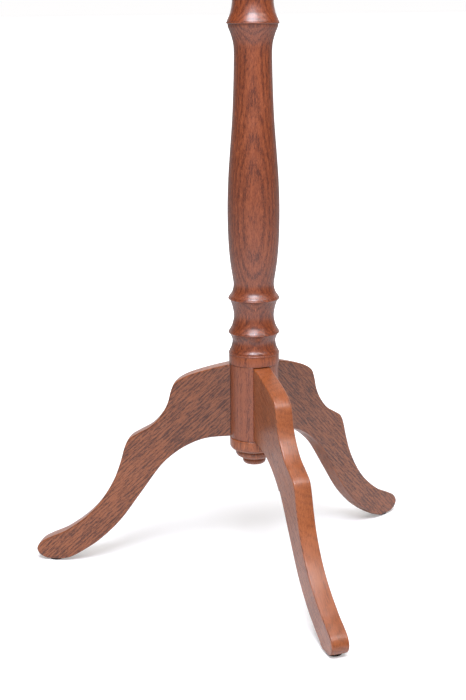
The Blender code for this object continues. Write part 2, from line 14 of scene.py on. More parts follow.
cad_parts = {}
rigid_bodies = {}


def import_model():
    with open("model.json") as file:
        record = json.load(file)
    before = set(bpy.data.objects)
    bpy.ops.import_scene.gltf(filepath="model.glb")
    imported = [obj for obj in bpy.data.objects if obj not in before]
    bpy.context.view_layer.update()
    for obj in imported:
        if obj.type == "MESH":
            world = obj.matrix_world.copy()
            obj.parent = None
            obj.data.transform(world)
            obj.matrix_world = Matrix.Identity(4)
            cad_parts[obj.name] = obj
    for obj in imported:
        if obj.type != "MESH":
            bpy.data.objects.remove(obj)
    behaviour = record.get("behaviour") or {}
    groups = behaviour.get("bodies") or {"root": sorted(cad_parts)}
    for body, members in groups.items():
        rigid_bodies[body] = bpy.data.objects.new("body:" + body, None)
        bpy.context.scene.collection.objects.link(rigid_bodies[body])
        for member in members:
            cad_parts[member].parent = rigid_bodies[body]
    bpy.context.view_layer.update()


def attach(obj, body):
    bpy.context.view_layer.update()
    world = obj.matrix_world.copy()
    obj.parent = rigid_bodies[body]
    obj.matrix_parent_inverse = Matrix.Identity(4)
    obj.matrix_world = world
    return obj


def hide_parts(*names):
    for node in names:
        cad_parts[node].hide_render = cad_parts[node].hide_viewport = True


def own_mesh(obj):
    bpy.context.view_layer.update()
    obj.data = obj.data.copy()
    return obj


MM = 0.001
GAP = 0.3  # clearance between neighbouring pieces, as in the CAD model
OVERRUN = 1.0  # how far a cutting tool runs past the face that it cuts

# Legs and pads
PAD_THICKNESS = 1.7
PAD_RADIUS = 8.5
PAD_REACH = 243.0  # from the column's axis to the middle of a foot
LEG_THICKNESS = 20.0
LEG_SHOULDER = 26.5  # where a leg's flat shoulder stands, from the column's axis
FOOT_Z = PAD_THICKNESS + GAP
LEG_SPREAD = 117.0  # from the front leg to each rear leg
LEG_ANGLES = {"front": -90.0, "rear_right": -90.0 + LEG_SPREAD, "rear_left": -90.0 - LEG_SPREAD}
TOE_START = 225.0  # a leg's toe is what lies farther out than this
TOE_SCALE = {"front": 0.81, "rear_right": 1.0, "rear_left": 1.0}  # the front toe is shorter
SLIM_START = 105.0  # the slimmer part of a leg runs from here to its toe
SLIMMER = {"front": 2.5, "rear_right": 0.0, "rear_left": 0.0}  # wood gone from the underside

# Column
DRUM_BOTTOM = 165.2
DRUM_TOP = 253.6
DRUM_RADIUS = 28.1
COLLAR_RADIUS = 28.8
COLLAR_TOP = 266.0
RING_RADIUS = 29.2
LOW_RING = 290.0
MIDDLE_RING = 329.4
UPPER_RING = 633.9
COLUMN_SHOULDER = 680.0
TENON_RADIUS = 15.0

# Tilt block and its pivots
BLOCK_THICKNESS = 24.0
BLOCK_BOTTOM = COLUMN_SHOULDER + GAP
BLOCK_TOP = BLOCK_BOTTOM + BLOCK_THICKNESS
BLOCK_HALF_WIDTH = 80.0
BLOCK_FRONT = -80.0
BLOCK_CORNER = 2.0
TENON_TOP = BLOCK_TOP - 0.5
WEDGE_LENGTH = 16.0
PIVOT_Y = 70.0
PIVOT_Z = BLOCK_BOTTOM + BLOCK_THICKNESS / 2
PIN_RADIUS = 4.0
PIN_IN_BLOCK = 30.0

# Top and bearers
TOP_UNDERSIDE = BLOCK_TOP + GAP
TOP_THICKNESS = 18.0
TOP_RADIUS = 310.0
BEARER_INNER_X = BLOCK_HALF_WIDTH + 1.0
BEARER_WIDTH = 22.0
BEARER_DEPTH = 23.0
BEARER_HALF_LENGTH = 215.0
BEARER_TAPER = 45.0
BEARER_END_DEPTH = 9.0
BEARER_SCREW_Y = {"front": -150.0, "middle": -40.0, "rear": 150.0}
BEARER_SCREW_SINK = 3.5  # how far the heads lie inside the bearer

# Catch
PLATE_THICKNESS = 2.0
CATCH_FRONT = -136.0
CATCH_REAR = -88.0
CATCH_HALF_WIDTH = 17.0
CATCH_SCREW_X = 12.0
CATCH_SCREW_INSET = 5.0
CASE_FRONT = -132.0
CASE_REAR = -86.0
CASE_HALF_WIDTH = 7.0
CASE_WALL = 1.6
BOLT_TOP = TOP_UNDERSIDE - 3.6
BOLT_THICKNESS = 4.5
BOLT_BOTTOM = BOLT_TOP - BOLT_THICKNESS
BOLT_MIDDLE = BOLT_TOP - BOLT_THICKNESS / 2
BOLT_HALF_WIDTH = 4.5
BOLT_PLAY = 0.6  # room left round the bolt in the strike plate and the block
BOLT_TIP = -73.0
BOLT_TAIL = -112.0
BOLT_TRAVEL = 8.0
KNOB_Y = -104.0
STRIKE_HALF_WIDTH = 15.0
STRIKE_HALF_HEIGHT = 8.0
STRIKE_THICKNESS = 1.5
STRIKE_SCREW_X = 10.5

# Screws: head radius, shank radius, length
BEARER_SCREW = (4.6, 2.2, 30.0)
CATCH_SCREW = (3.0, 1.5, 11.0)
STRIKE_SCREW = (2.6, 1.3, 11.0)
SCREW_RIM = 0.4  # height of a head's round edge, above its cone
SCREW_POINT = 3.0
SCREW_ROOM_HEIGHT = 20.0  # how far a screw's room goes on above its head
THREAD_PITCH = 1.2
THREAD_ROOT = 0.78  # root radius over shank radius

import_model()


# ---------------------------------------------------------------- mesh helpers

def arc(centre, radius, start, end, steps):
    """Points on an arc, with angles in degrees from +X towards +Z."""
    angles = [math.radians(start + (end - start) * i / steps) for i in range(steps + 1)]
    return [(centre[0] + radius * math.cos(a), centre[1] + radius * math.sin(a)) for a in angles]


def curve_through(points, per_span):
    """A smooth Catmull-Rom curve through the points, ends included."""
    first = [2 * points[0][k] - points[1][k] for k in (0, 1)]
    last = [2 * points[-1][k] - points[-2][k] for k in (0, 1)]
    padded = [Vector(p) for p in (first, *points, last)]
    made = []
    for before, start, end, after in zip(padded, padded[1:], padded[2:], padded[3:]):
        chord = (end - start).length
        out = (end - before) * chord / ((start - before).length + chord)
        back = (after - start) * chord / ((after - end).length + chord)
        for step in range(per_span):
            t = step / per_span
            made.append(
                start * (2 * t**3 - 3 * t**2 + 1)
                + out * (t**3 - 2 * t**2 + t)
                + end * (3 * t**2 - 2 * t**3)
                + back * (t**3 - t**2)
            )
    return [(p.x, p.y) for p in made] + [tuple(points[-1])]


def as_object(name, verts, faces, smooth_angle=None, normals=None):
    """An object, in metres, from points in millimetres, shaded smooth by angle or by normals."""
    mesh = bpy.data.meshes.new(name)
    mesh.from_pydata([Vector(v) * MM for v in verts], [], faces)
    mesh.validate()
    made = bpy.data.objects.new(name, mesh)
    bpy.context.scene.collection.objects.link(made)
    if smooth_angle:
        shade(made, smooth_angle)
    if normals:
        mesh.shade_smooth()
        mesh.normals_split_custom_set_from_vertices(normals)
    return made


def shade(thing, angle):
    """Smooth shading, with edges sharper than the angle in degrees kept sharp."""
    thing.data.shade_smooth()
    thing.data.set_sharp_from_angle(angle=math.radians(angle))
    return thing


def turned(name, profile, sides, smooth_angle=30):
    """Spin (radius, z) points, listed top to bottom, about Z. Points at radius 0 are poles."""
    verts, rows = [], []
    for radius, z in profile:
        if radius == 0:
            rows.append([len(verts)] * sides)
            verts.append((0, 0, z))
            continue
        rows.append(list(range(len(verts), len(verts) + sides)))
        for k in range(sides):
            angle = math.tau * k / sides
            verts.append((radius * math.cos(angle), radius * math.sin(angle), z))
    faces = []
    for high, low in zip(rows, rows[1:]):
        for k in range(sides):
            j = (k + 1) % sides
            face = [high[k], low[k], low[j], high[j]]
            faces.append(list(dict.fromkeys(face)))
    return as_object(name, verts, faces, smooth_angle)


def clockwise(outline):
    """The outline, listed backwards if need be, so that its outward side is on the left."""
    area = sum(a[0] * b[1] - b[0] * a[1] for a, b in zip(outline, outline[1:] + outline[:1]))
    return outline if area < 0 else outline[::-1]


def outward(outline, closed):
    """Unit normals of an outline. The ends of an open outline keep theirs along Z."""
    found = []
    count = len(outline)
    for i, point in enumerate(outline):
        before = outline[i - 1] if i or closed else point
        after = outline[(i + 1) % count] if i < count - 1 or closed else point
        along = Vector(after) - Vector(before)
        normal = Vector((-along.y, along.x)).normalized()
        if not closed and i in (0, count - 1):
            normal = Vector((0, math.copysign(1, normal.y)))
        found.append(normal)
    return found


def plank(name, outline, thickness, rounding, closed=True, crown=0.0, steps=5):
    """A sawn board: an outline in XZ made thick along Y, with rounded arrises and crowned edges."""
    outline = clockwise(outline)
    normals = outward(outline, closed)
    half = thickness / 2 - rounding
    rows = []  # (y, inset from the outline, tilt of the normal towards Y)
    for step in range(steps + 1):
        tilt = -90 + 90 * step / steps
        lean = math.radians(tilt)
        rows.append((
            -half + rounding * math.sin(lean), crown + rounding * (1 - math.cos(lean)), lean
        ))
    if crown:
        for share in (-0.6, -0.2, 0.2, 0.6):  # of half the thickness
            rows.append((half * share, crown * share**2, 2 * crown * share / half))
    rows += [(-y, inset, -lean) for y, inset, lean in reversed(rows[:steps + 1])]
    verts, directions = [], []
    for y, inset, lean in rows:
        for point, normal in zip(outline, normals):
            place = Vector(point) - normal * inset
            verts.append((place.x, y, place.y))
            flat = math.cos(lean)
            directions.append((normal.x * flat, math.sin(lean), normal.y * flat))
    count = len(outline)
    faces = []
    spans = count if closed else count - 1
    for row in range(len(rows) - 1):
        for i in range(spans):
            j = (i + 1) % count
            a, b = row * count, (row + 1) * count
            faces.append([a + i, a + j, b + j, b + i])
    last = (len(rows) - 1) * count
    faces.append(list(range(count))[::-1])
    faces.append([last + i for i in range(count)])
    if not closed:
        ends = [row * count for row in range(len(rows))]
        faces.append(ends + [e + count - 1 for e in reversed(ends)])
    return as_object(name, verts, faces, normals=directions)


def box(name, low, high, rounding=0.0):
    """A block between two corners, with its edges rounded if asked."""
    maker = bmesh.new()
    bmesh.ops.create_cube(maker, size=1.0)
    for vert in maker.verts:
        vert.co = [(a + b) / 2 + c * (b - a) for a, b, c in zip(low, high, vert.co)]
    if rounding:
        bmesh.ops.bevel(
            maker, geom=list(maker.edges), offset=rounding, segments=3, profile=0.5,
            affect="EDGES",
        )
    bmesh.ops.scale(maker, vec=(MM, MM, MM), verts=maker.verts)
    mesh = bpy.data.meshes.new(name)
    maker.to_mesh(mesh)
    maker.free()
    made = bpy.data.objects.new(name, mesh)
    bpy.context.scene.collection.objects.link(made)
    return made


def place(thing, position, turn=None):
    """Put an object at a position in millimetres, after an optional rotation matrix."""
    thing.matrix_world = Matrix.Translation(Vector(position) * MM) @ (turn or Matrix.Identity(4))
    return thing


def about_z(degrees):
    """The matrix of a turn about Z."""
    return Matrix.Rotation(math.radians(degrees), 4, "Z")


def settle(thing):
    """Apply an object's modifiers to its mesh."""
    graph = bpy.context.evaluated_depsgraph_get()
    mesh = bpy.data.meshes.new_from_object(thing.evaluated_get(graph))
    thing.modifiers.clear()
    thing.data = mesh
    return thing


def cut(thing, tools, smooth_angle=30):
    """Subtract the tools from an object, and delete them."""
    for tool in tools:
        step = thing.modifiers.new(tool.name, "BOOLEAN")
        step.operation = "DIFFERENCE"
        step.solver = "EXACT"
        step.object = tool
    bpy.context.view_layer.update()
    settle(thing)
    for tool in tools:
        bpy.data.objects.remove(tool, do_unlink=True)
    return shade(thing, smooth_angle)


def rod(name, radius, start, end, axis, sides=48, rounding=0.0):
    """A round bar along a world axis, from start to end on it."""
    length = end - start
    profile = [(0, length), (radius, length), (radius, 0), (0, 0)]
    if rounding:
        profile = (
            [(0, length)] + arc((radius - rounding, length - rounding), rounding, 90, 0, 5)
            + arc((radius - rounding, rounding), rounding, 0, -90, 5) + [(0, 0)]
        )
    turn, offset = {
        "x": (Matrix.Rotation(math.radians(90), 4, "Y"), (start, 0, 0)),
        "y": (Matrix.Rotation(math.radians(-90), 4, "X"), (0, start, 0)),
        "z": (Matrix.Identity(4), (0, 0, start)),
    }[axis]
    return place(turned(name, profile, sides), offset, turn)


def shifted(thing, x=0.0, y=0.0, z=0.0):
    """Move an object, in millimetres, from where it is."""
    thing.matrix_world = Matrix.Translation(Vector((x, y, z)) * MM) @ thing.matrix_world
    return thing


# ---------------------------------------------------------------- materials

class Graph:
    """A short way to write the nodes of a material or a world."""

    def __init__(self, owner):
        owner.use_nodes = True
        self.owner = owner
        self.tree = owner.node_tree

    def node(self, kind, **settings):
        made = self.tree.nodes.new("ShaderNode" + kind)
        for key, value in settings.items():
            setattr(made, key, value)
        return made

    def feed(self, socket, value):
        """Link a socket to another one, or set its value."""
        if isinstance(value, bpy.types.NodeSocket):
            self.tree.links.new(value, socket)
        else:
            socket.default_value = value

    def coordinates(self):
        return self.node("TexCoord").outputs["Object"]

    def component(self, vector, axis):
        made = self.node("SeparateXYZ")
        self.feed(made.inputs[0], vector)
        return made.outputs[axis]

    def mapped(self, vector, scale, turn=(0, 0, 0), shift=(0, 0, 0)):
        made = self.node("Mapping")
        self.feed(made.inputs["Vector"], vector)
        made.inputs["Scale"].default_value = scale
        made.inputs["Rotation"].default_value = [math.radians(t) for t in turn]
        made.inputs["Location"].default_value = shift
        return made.outputs["Vector"]

    def noise(self, vector, scale, detail, roughness=0.55, distortion=0.0):
        made = self.node("TexNoise")
        self.feed(made.inputs["Vector"], vector)
        made.inputs["Scale"].default_value = scale
        made.inputs["Detail"].default_value = detail
        made.inputs["Roughness"].default_value = roughness
        made.inputs["Distortion"].default_value = distortion
        return made.outputs["Fac"]

    def drawn_out(self, vector, across, along, shift=(0, 0, 0), **settings):
        """Noise with so many features per metre across Z, and so many along it."""
        return self.noise(
            self.mapped(vector, (across, across, along), shift=shift), scale=1.0, **settings
        )

    def rings(self, vector, scale, distortion):
        made = self.node("TexWave", wave_type="RINGS", rings_direction="Z", wave_profile="SAW")
        self.feed(made.inputs["Vector"], vector)
        made.inputs["Scale"].default_value = scale
        made.inputs["Distortion"].default_value = distortion
        made.inputs["Detail"].default_value = 3.0
        made.inputs["Detail Scale"].default_value = 26.0
        made.inputs["Detail Roughness"].default_value = 0.6
        return made.outputs["Fac"]

    def math(self, operation, a, b=0.0, clamp=False):
        made = self.node("Math", operation=operation, use_clamp=clamp)
        self.feed(made.inputs[0], a)
        self.feed(made.inputs[1], b)
        return made.outputs[0]

    def plus(self, a, b):
        return self.math("ADD", a, b)

    def minus(self, a, b):
        return self.math("SUBTRACT", a, b)

    def times(self, a, b):
        return self.math("MULTIPLY", a, b)

    def between(self, value, low, high, out_low=0.0, out_high=1.0):
        """A smooth step from out_low to out_high as the value goes from low to high."""
        made = self.node("MapRange", interpolation_type="SMOOTHSTEP")
        for socket, entry in zip(made.inputs, (value, low, high, out_low, out_high)):
            self.feed(socket, entry)
        return made.outputs["Result"]

    def blend(self, factor, a, b):
        """A number between a and b."""
        made = self.node("Mix")
        for socket, value in zip((0, 2, 3), (factor, a, b)):  # the sockets for numbers
            self.feed(made.inputs[socket], value)
        return made.outputs[0]

    def mix(self, factor, a, b, blend="MIX"):
        """A colour mixed from two, each a socket or three numbers."""
        made = self.node("Mix", data_type="RGBA", blend_type=blend)
        self.feed(made.inputs["Factor"], factor)
        for socket, colour in ((6, a), (7, b)):  # the sockets for colours
            is_link = isinstance(colour, bpy.types.NodeSocket)
            self.feed(made.inputs[socket], colour if is_link else (*colour, 1.0))
        return made.outputs[2]

    def ramp(self, factor, colours):
        """Three colours, dark to light, along a factor."""
        made = self.node("ValToRGB")
        self.feed(made.inputs["Fac"], factor)
        elements = made.color_ramp.elements
        elements[0].position = 0.05
        elements[1].position = 0.95
        elements.new(0.5)
        for element, colour in zip(elements, colours):
            element.color = (*colour, 1)
        return made.outputs["Color"]

    def bump(self, height, strength, distance, under=None):
        made = self.node("Bump")
        made.inputs["Strength"].default_value = strength
        made.inputs["Distance"].default_value = distance
        self.feed(made.inputs["Height"], height)
        if under:
            self.feed(made.inputs["Normal"], under)
        return made.outputs["Normal"]

    def put(self, **values):
        """Set or link the main shader's sockets, named with _ for each space."""
        shader = self.tree.nodes["Principled BSDF"]
        for socket, value in values.items():
            self.feed(shader.inputs[socket.replace("_", " ")], value)


def wood(name, tones, grain, pith, figure, texture, flecks, polish, side_grain_light_and_shade=None,
         painted_low_light=None):
    """Timber with growth rings about a pith line, long pores and a worn polish.

    tones: dark, middle and light colours. grain: turns, in degrees, that bring the board's grain
    onto Z. pith: where the pith lies, in metres. figure: (rings scale, distortion, contrast).
    texture: (streaks per metre across the grain, along it, how strong they are). flecks: the
    amount of pale flecks. polish: (lowest roughness, highest roughness, coat weight, coat
    roughness). The flat sides, the faces across Y: how much stronger the grain is, how much
    painted light brightens them, and how much painted shade darkens them at the near and far
    ends of X. The low band: a height, and how much painted light, standing in for the light
    from the floor, brightens the wood below it.
    """
    g = Graph(bpy.data.materials.new(name))
    along = g.mapped(g.coordinates(), (1, 1, 1), grain)
    ring_scale, ring_distortion, contrast = figure
    rings = g.rings(g.mapped(along, (1, 1, 0.10), shift=pith), ring_scale, ring_distortion)
    across, lengthwise, amount = texture
    streaks = g.drawn_out(along, across, lengthwise, detail=5.0, roughness=0.68, distortion=0.4)
    fine = g.drawn_out(along, 1300, 3 * lengthwise, detail=3.0, roughness=0.6)
    clouds = g.drawn_out(along, 30, 9, detail=3.0)
    short = g.drawn_out(
        along, 1.4 * across, 2.4 * lengthwise, (2, 7, 1), detail=3.0, roughness=0.6, distortion=0.6
    )
    pores = g.between(short, 0.50, 0.66)
    line = g.times(g.between(rings, 0.50, 0.88), g.between(streaks, 0.60, 0.44, 0.3, 1))

    painted_shade = None
    lighter = 0.0
    if side_grain_light_and_shade:
        stronger, painted_lift, at_root, at_toe = side_grain_light_and_shade
        facing = g.component(g.node("TexCoord").outputs["Normal"], "Y")
        side = g.between(g.math("ABSOLUTE", facing), 0.55, 0.95)
        amount = g.plus(amount, g.times(side, stronger))
        line = g.times(line, g.between(side, 0, 1, 0.2, 1.0))
        # Painted light: the flat sides are made lighter.
        lighter = g.times(side, painted_lift)
        # Painted shade on the flat sides, deepest near the column.
        reach = g.component(g.coordinates(), "X")
        painted_shade = g.times(side, g.between(reach, 0.03, 0.22, at_root, at_toe))
    if painted_low_light:
        height, painted_lift = painted_low_light
        # Painted light from the floor: the wood is made lighter below the given height.
        above = g.minus(g.component(g.coordinates(), "Z"), height)
        lighter = g.plus(lighter, g.between(above, 0.002, -0.002, 0.0, painted_lift))

    tone = g.plus(g.plus(0.55, g.times(amount, 0.22)), lighter)
    tone = g.minus(tone, g.times(line, contrast))
    tone = g.plus(tone, g.times(g.minus(clouds, 0.5), 0.6))
    grainy = g.plus(g.times(g.minus(streaks, 0.5), 2.0), g.times(g.minus(fine, 0.5), 0.9))
    grainy = g.minus(grainy, g.times(pores, 0.5))
    colour = g.ramp(g.math("ADD", tone, g.times(grainy, amount), clamp=True), tones)
    # Darken the flat sides with the painted shade.
    if painted_shade:
        colour = g.mix(painted_shade, colour, (0.42, 0.40, 0.40), "MULTIPLY")
    if flecks:
        pale = g.between(g.drawn_out(along, 520, 90, (3, 1, 2), detail=2.0), 0.60, 0.72)
        where = g.between(g.drawn_out(along, 34, 12, (5, 5, 5), detail=2.0), 0.46, 0.62)
        lightest = [1.8 * c for c in tones[-1]]
        colour = g.mix(g.times(g.times(pale, where), flecks), colour, lightest)

    smoothest, roughest, coat, coat_roughness = polish
    wear = g.noise(g.coordinates(), scale=38.0, detail=5.0, roughness=0.65)
    rough = g.plus(g.between(wear, 0.3, 0.7, smoothest, roughest), g.times(pores, 0.10))
    uneven = g.bump(g.drawn_out(along, 34, 7, detail=2.0), 1.0, 0.00010)
    bumps = g.bump(g.minus(streaks, pores), 1.0, 0.00004, uneven)
    g.put(Base_Color=colour, Roughness=rough, Normal=bumps, Coat_Weight=coat,
          Coat_Roughness=coat_roughness, Coat_Normal=bumps)
    return g.owner


def metal(name, colour, tarnish, roughness, brushed):
    """A plain metal with tarnish in patches, and marks with so many per metre along each axis."""
    g = Graph(bpy.data.materials.new(name))
    where = g.coordinates()
    patches = g.between(g.noise(where, scale=120.0, detail=5.0, roughness=0.7), 0.42, 0.68)
    marks = g.noise(g.mapped(where, brushed), scale=1.0, detail=3.0, roughness=0.7)
    rough = g.between(marks, 0.3, 0.7, roughness - 0.06, roughness + 0.08)
    g.put(
        Base_Color=g.mix(patches, colour, tarnish),
        Metallic=1.0,
        Roughness=g.plus(rough, g.times(patches, 0.16)),
        Normal=g.bump(marks, 0.15, 0.0001),
    )
    return g.owner


def felt_material(name, colour):
    """Short dark fibres in tufts, with paler tips."""
    g = Graph(bpy.data.materials.new(name))
    where = g.coordinates()
    fuzz = g.noise(where, scale=1800.0, detail=4.0, roughness=0.7)
    tufts = g.noise(where, scale=260.0, detail=3.0, roughness=0.6)
    tufted = g.mix(g.between(tufts, 0.3, 0.7), [0.6 * c for c in colour], colour)
    g.put(
        Base_Color=g.mix(g.between(fuzz, 0.45, 0.75), tufted, [2.2 * c for c in colour]),
        Roughness=0.95,
        Normal=g.bump(g.plus(fuzz, tufts), 0.6, 0.0004),
        Sheen_Weight=0.4,
    )
    return g.owner


COLUMN_TONES = ((0.062, 0.012, 0.004), (0.145, 0.029, 0.008), (0.235, 0.060, 0.020))
# The drop's tones are lighter and more orange than the column's: partly its own wood, partly
# painted light from the floor below.
DROP_TONES = ((0.110, 0.026, 0.007), (0.245, 0.060, 0.015), (0.340, 0.100, 0.033))
LEG_TONES = ((0.080, 0.019, 0.006), (0.212, 0.055, 0.015), (0.330, 0.098, 0.031))
PLAIN_TONES = ((0.110, 0.040, 0.020), (0.210, 0.078, 0.038), (0.300, 0.120, 0.060))
# The column is painted lighter below its collar, standing in for the light from the floor.
column_wood = wood(
    "column_timber", COLUMN_TONES, grain=(0, 0, 0), pith=(-0.030, -0.085, 0.0),
    figure=(120.0, 5.0, 0.75), texture=(900, 110, 0.95), flecks=0.6,
    polish=(0.31, 0.40, 0.36, 0.27), painted_low_light=(COLLAR_TOP * MM, 0.34),
)
drop_wood = wood(
    "drop_timber", DROP_TONES, grain=(0, 0, 0), pith=(-0.030, -0.085, 0.1),
    figure=(120.0, 5.0, 0.5), texture=(900, 110, 0.8), flecks=0.5,
    polish=(0.32, 0.40, 0.28, 0.28),
)
leg_woods = {
    where: wood(
        f"leg_timber_{where}", LEG_TONES, grain=(6.0, 47.0, 0), pith=pith,
        figure=(84.0, 6.0, 1.15), texture=(560, 34, 0.36), flecks=0.15,
        polish=(0.30, 0.40, 0.30, 0.26), side_grain_light_and_shade=side_grain_light_and_shade,
    )
    for where, pith, side_grain_light_and_shade in (
        # The rear legs' flat sides get painted shade, deepest near the column; the front leg's flat
        # sides get painted light.
        ("front", (0.09, 0.050, 0.1), (0.40, 0.22, 0.0, 0.0)),
        ("rear_right", (-0.10, 0.040, 0.3), (1.2, 0.0, 0.72, 0.38)),
        ("rear_left", (0.12, 0.035, -0.2), (1.2, 0.0, 0.72, 0.38)),
    )
}
brass = metal("worn_brass", (0.72, 0.50, 0.22), (0.34, 0.20, 0.09), 0.30, (2000, 60, 2000))
steel = metal("plain_steel", (0.46, 0.45, 0.43), (0.20, 0.17, 0.15), 0.38, (90, 2400, 2400))
felt = felt_material("dark_felt", (0.022, 0.020, 0.019))
block_wood, bearer_wood = (
    wood(
        name, PLAIN_TONES, grain=grain, pith=pith, figure=(60.0, 6.0, 0.5),
        texture=(430, 22, 0.8), flecks=0.0, polish=(0.50, 0.66, 0.05, 0.4),
    )
    for name, grain, pith in (
        ("block_timber", (90, 0, 0), (0.01, 0.05, 0.0)),
        ("bearer_timber", (0, 90, 0), (0.02, 0.06, 0.0)),
    )
)
top_wood = wood(
    "top_timber", COLUMN_TONES, grain=(0, 90, 0), pith=(0.015, 0.045, 0.02),
    figure=(24.0, 8.0, 0.42), texture=(560, 40, 0.7), flecks=0.3, polish=(0.28, 0.38, 0.2, 0.2),
)


def dressed(piece, material, body, slot, *nodes):
    """Give a piece its material, hang it on the body that it rides on, and hide the CAD parts that
    it stands for.
    """
    piece.data.materials.clear()
    piece.data.materials.append(material)
    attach(piece, body)
    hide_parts(*nodes)
    return piece


# ---------------------------------------------------------------- column and drop

def ring(z):
    """A quirk, a small bead and an undercut, on the crest of a turned flare."""
    edge = RING_RADIUS
    return (
        [(edge - 0.7, z + 1.7), (edge - 0.85, z + 1.35)]
        + arc((edge - 1.0, z + 0.1), 1.0, 75, -60, 8)
        + [(edge - 1.15, z - 0.95), (edge - 1.5, z - 1.3)]
    )


def column_profile():
    """The column's outline as (radius, z), from the tenon down to the drum's underside."""
    per_span = 10
    cap = [(0, TENON_TOP), (TENON_RADIUS, TENON_TOP), (TENON_RADIUS, COLUMN_SHOULDER)]
    cap += arc((25.0, 674.6), 5.4, 90, -20, 24)
    capital = curve_through(
        [(28.2, 672.0), (24.4, 666.0), (22.6, 657.5), (24.6, 645.0), (27.2, 638.6)], per_span
    )
    neck = curve_through(
        [(27.3, 629.6), (24.0, 621.2), (21.5, 611.0), (21.0, 598.0), (21.9, 562.0),
         (23.4, 529.0), (26.0, 495.0), (28.2, 463.5), (29.2, 430.0), (28.6, 397.0),
         (26.8, 373.0), (24.0, 353.5), (23.0, 345.8), (23.8, 339.4), (25.4, 335.4),
         (27.9, 332.2)], per_span
    )
    cove = curve_through(
        [(26.7, 326.6), (24.3, 319.0), (22.9, 308.6), (24.6, 299.2), (27.4, 293.2)], per_span
    )
    lower_cove = curve_through(
        [(26.7, 286.9), (24.7, 280.6), (26.1, 272.4), (28.0, 268.6)], per_span
    )
    foot = arc((28.0, 265.9), 1.2, 80, -30, 6)
    foot += [(COLLAR_RADIUS - 0.15, 265.0), (COLLAR_RADIUS, 264.6), (COLLAR_RADIUS, 254.3)]
    foot += [(COLLAR_RADIUS - 0.35, 253.8), (DRUM_RADIUS - 0.35, 253.5), (DRUM_RADIUS, 253.0)]
    foot += arc((DRUM_RADIUS - 1.0, DRUM_BOTTOM + 1.0), 1.0, 0, -80, 6)
    foot += [(DRUM_RADIUS - 1.6, DRUM_BOTTOM), (0, DRUM_BOTTOM)]
    return (
        cap + capital + ring(UPPER_RING) + neck + ring(MIDDLE_RING) + cove + ring(LOW_RING)
        + lower_cove + foot
    )


def make_column():
    """The column, with a flat on the drum behind each leg and a slot for the wedge."""
    column = turned("turned_column", column_profile(), 128)
    half_flat = LEG_THICKNESS / 2 + 2 * GAP
    tools = []
    for where, angle in LEG_ANGLES.items():
        flat = box(
            f"flat_{where}", (LEG_SHOULDER - 0.7, -half_flat, DRUM_BOTTOM - OVERRUN),
            (DRUM_RADIUS + OVERRUN, half_flat, DRUM_TOP),
        )
        tools.append(place(flat, (0, 0, 0), about_z(angle)))
    half_slot = 1.8
    slot = box(
        "wedge_slot", (-TENON_RADIUS - OVERRUN, -half_slot, TENON_TOP - WEDGE_LENGTH - 2.5),
        (TENON_RADIUS + OVERRUN, half_slot, BLOCK_TOP + OVERRUN),
    )
    cut(column, tools + [slot])
    return dressed(column, column_wood, "stand", "polished_wood", "column")


def make_drop():
    """The turned button under the drum."""
    joint = DRUM_BOTTOM - GAP
    profile = [(0, joint), (26.4, joint)] + arc((27.4, joint - 1.0), 1.0, 100, 0, 6)
    profile += arc((22.2, 156.2), 6.2, 0, -70, 14)
    profile += [(23.6, 150.75)]
    profile += arc((16.0, 146.9), 5.9, 55, -75, 18)
    profile += [(16.6, 141.6), (13.8, 141.1)]
    profile += arc((9.3, 136.4), 4.2, 30, -90, 16) + [(0, 132.2)]
    drop = turned("turned_drop", profile, 96)
    return dressed(drop, drop_wood, "stand", "polished_wood", "base_drop")


# ---------------------------------------------------------------- legs

def toe_reach(where, reach):
    """How far out a point of a leg is, once the leg's toe is scaled."""
    return reach if reach < TOE_START else TOE_START + (reach - TOE_START) * TOE_SCALE[where]


def leg_outline(where):
    """A leg's side view as (reach, z): the shaped upper edge, then the underside."""
    shoulder = curve_through(
        [
            (LEG_SHOULDER, 253.1), (49.5, 247.0), (72.8, 239.4), (84.5, 233.9), (92.7, 227.4),
            (97.0, 218.0), (101.1, 203.0), (108.2, 189.6), (121.1, 175.2), (137.1, 165.5),
            (147.6, 158.6), (153.0, 149.0), (159.5, 127.5), (168.6, 104.3), (184.7, 78.1),
            (203.3, 58.2), (228.0, 39.8), (247.9, 30.3), (259.8, 23.4), (265.4, 14.6),
            (261.8, 6.8), (PAD_REACH + 10.0, FOOT_Z),
        ],
        8,
    )
    underside = curve_through(
        [
            (PAD_REACH - 10.0, FOOT_Z), (222.0, 5.4), (205.6, 15.2), (186.4, 29.2),
            (161.2, 54.3), (136.6, 88.3), (111.2, 124.4), (98.5, 137.6), (80.4, 151.0),
            (56.6, 161.6), (LEG_SHOULDER, 165.8),
        ],
        9,
    )
    thinned = [
        (reach, z + SLIMMER[where] if SLIM_START < reach < TOE_START else z)
        for reach, z in underside
    ]
    return [(toe_reach(where, reach), z) for reach, z in shoulder + thinned]


def make_leg(where, angle):
    """A sawn leg with rounded arrises, turned to its place round the drum."""
    leg = plank(
        f"carved_leg_{where}", leg_outline(where), LEG_THICKNESS, 1.7, closed=False, crown=0.35
    )
    place(leg, (0, 0, 0), about_z(angle))
    return dressed(leg, leg_woods[where], "stand", "polished_wood", f"leg_{where}")


def make_pad(where, angle):
    """A felt disc under a foot, with a bulging edge."""
    flat_radius = PAD_RADIUS - 0.4
    profile = [(0, PAD_THICKNESS), (flat_radius, PAD_THICKNESS)]
    profile += arc((flat_radius, PAD_THICKNESS / 2), 0.4, 60, -60, 5)
    profile += [(flat_radius - 0.1, 0), (0, 0)]
    pad = turned(f"pad_{where}", profile, 48)
    reach = Vector((toe_reach(where, PAD_REACH), 0, 0))
    reach.rotate(about_z(angle))
    place(pad, reach)
    return dressed(pad, felt, "stand", "felt", f"foot_pad_{where}")


# ---------------------------------------------------------------- screws

def turn_along(direction):
    """The matrix that points a screw's tip along a direction."""
    return Vector(direction).to_track_quat("-Z", "Y").to_matrix().to_4x4()


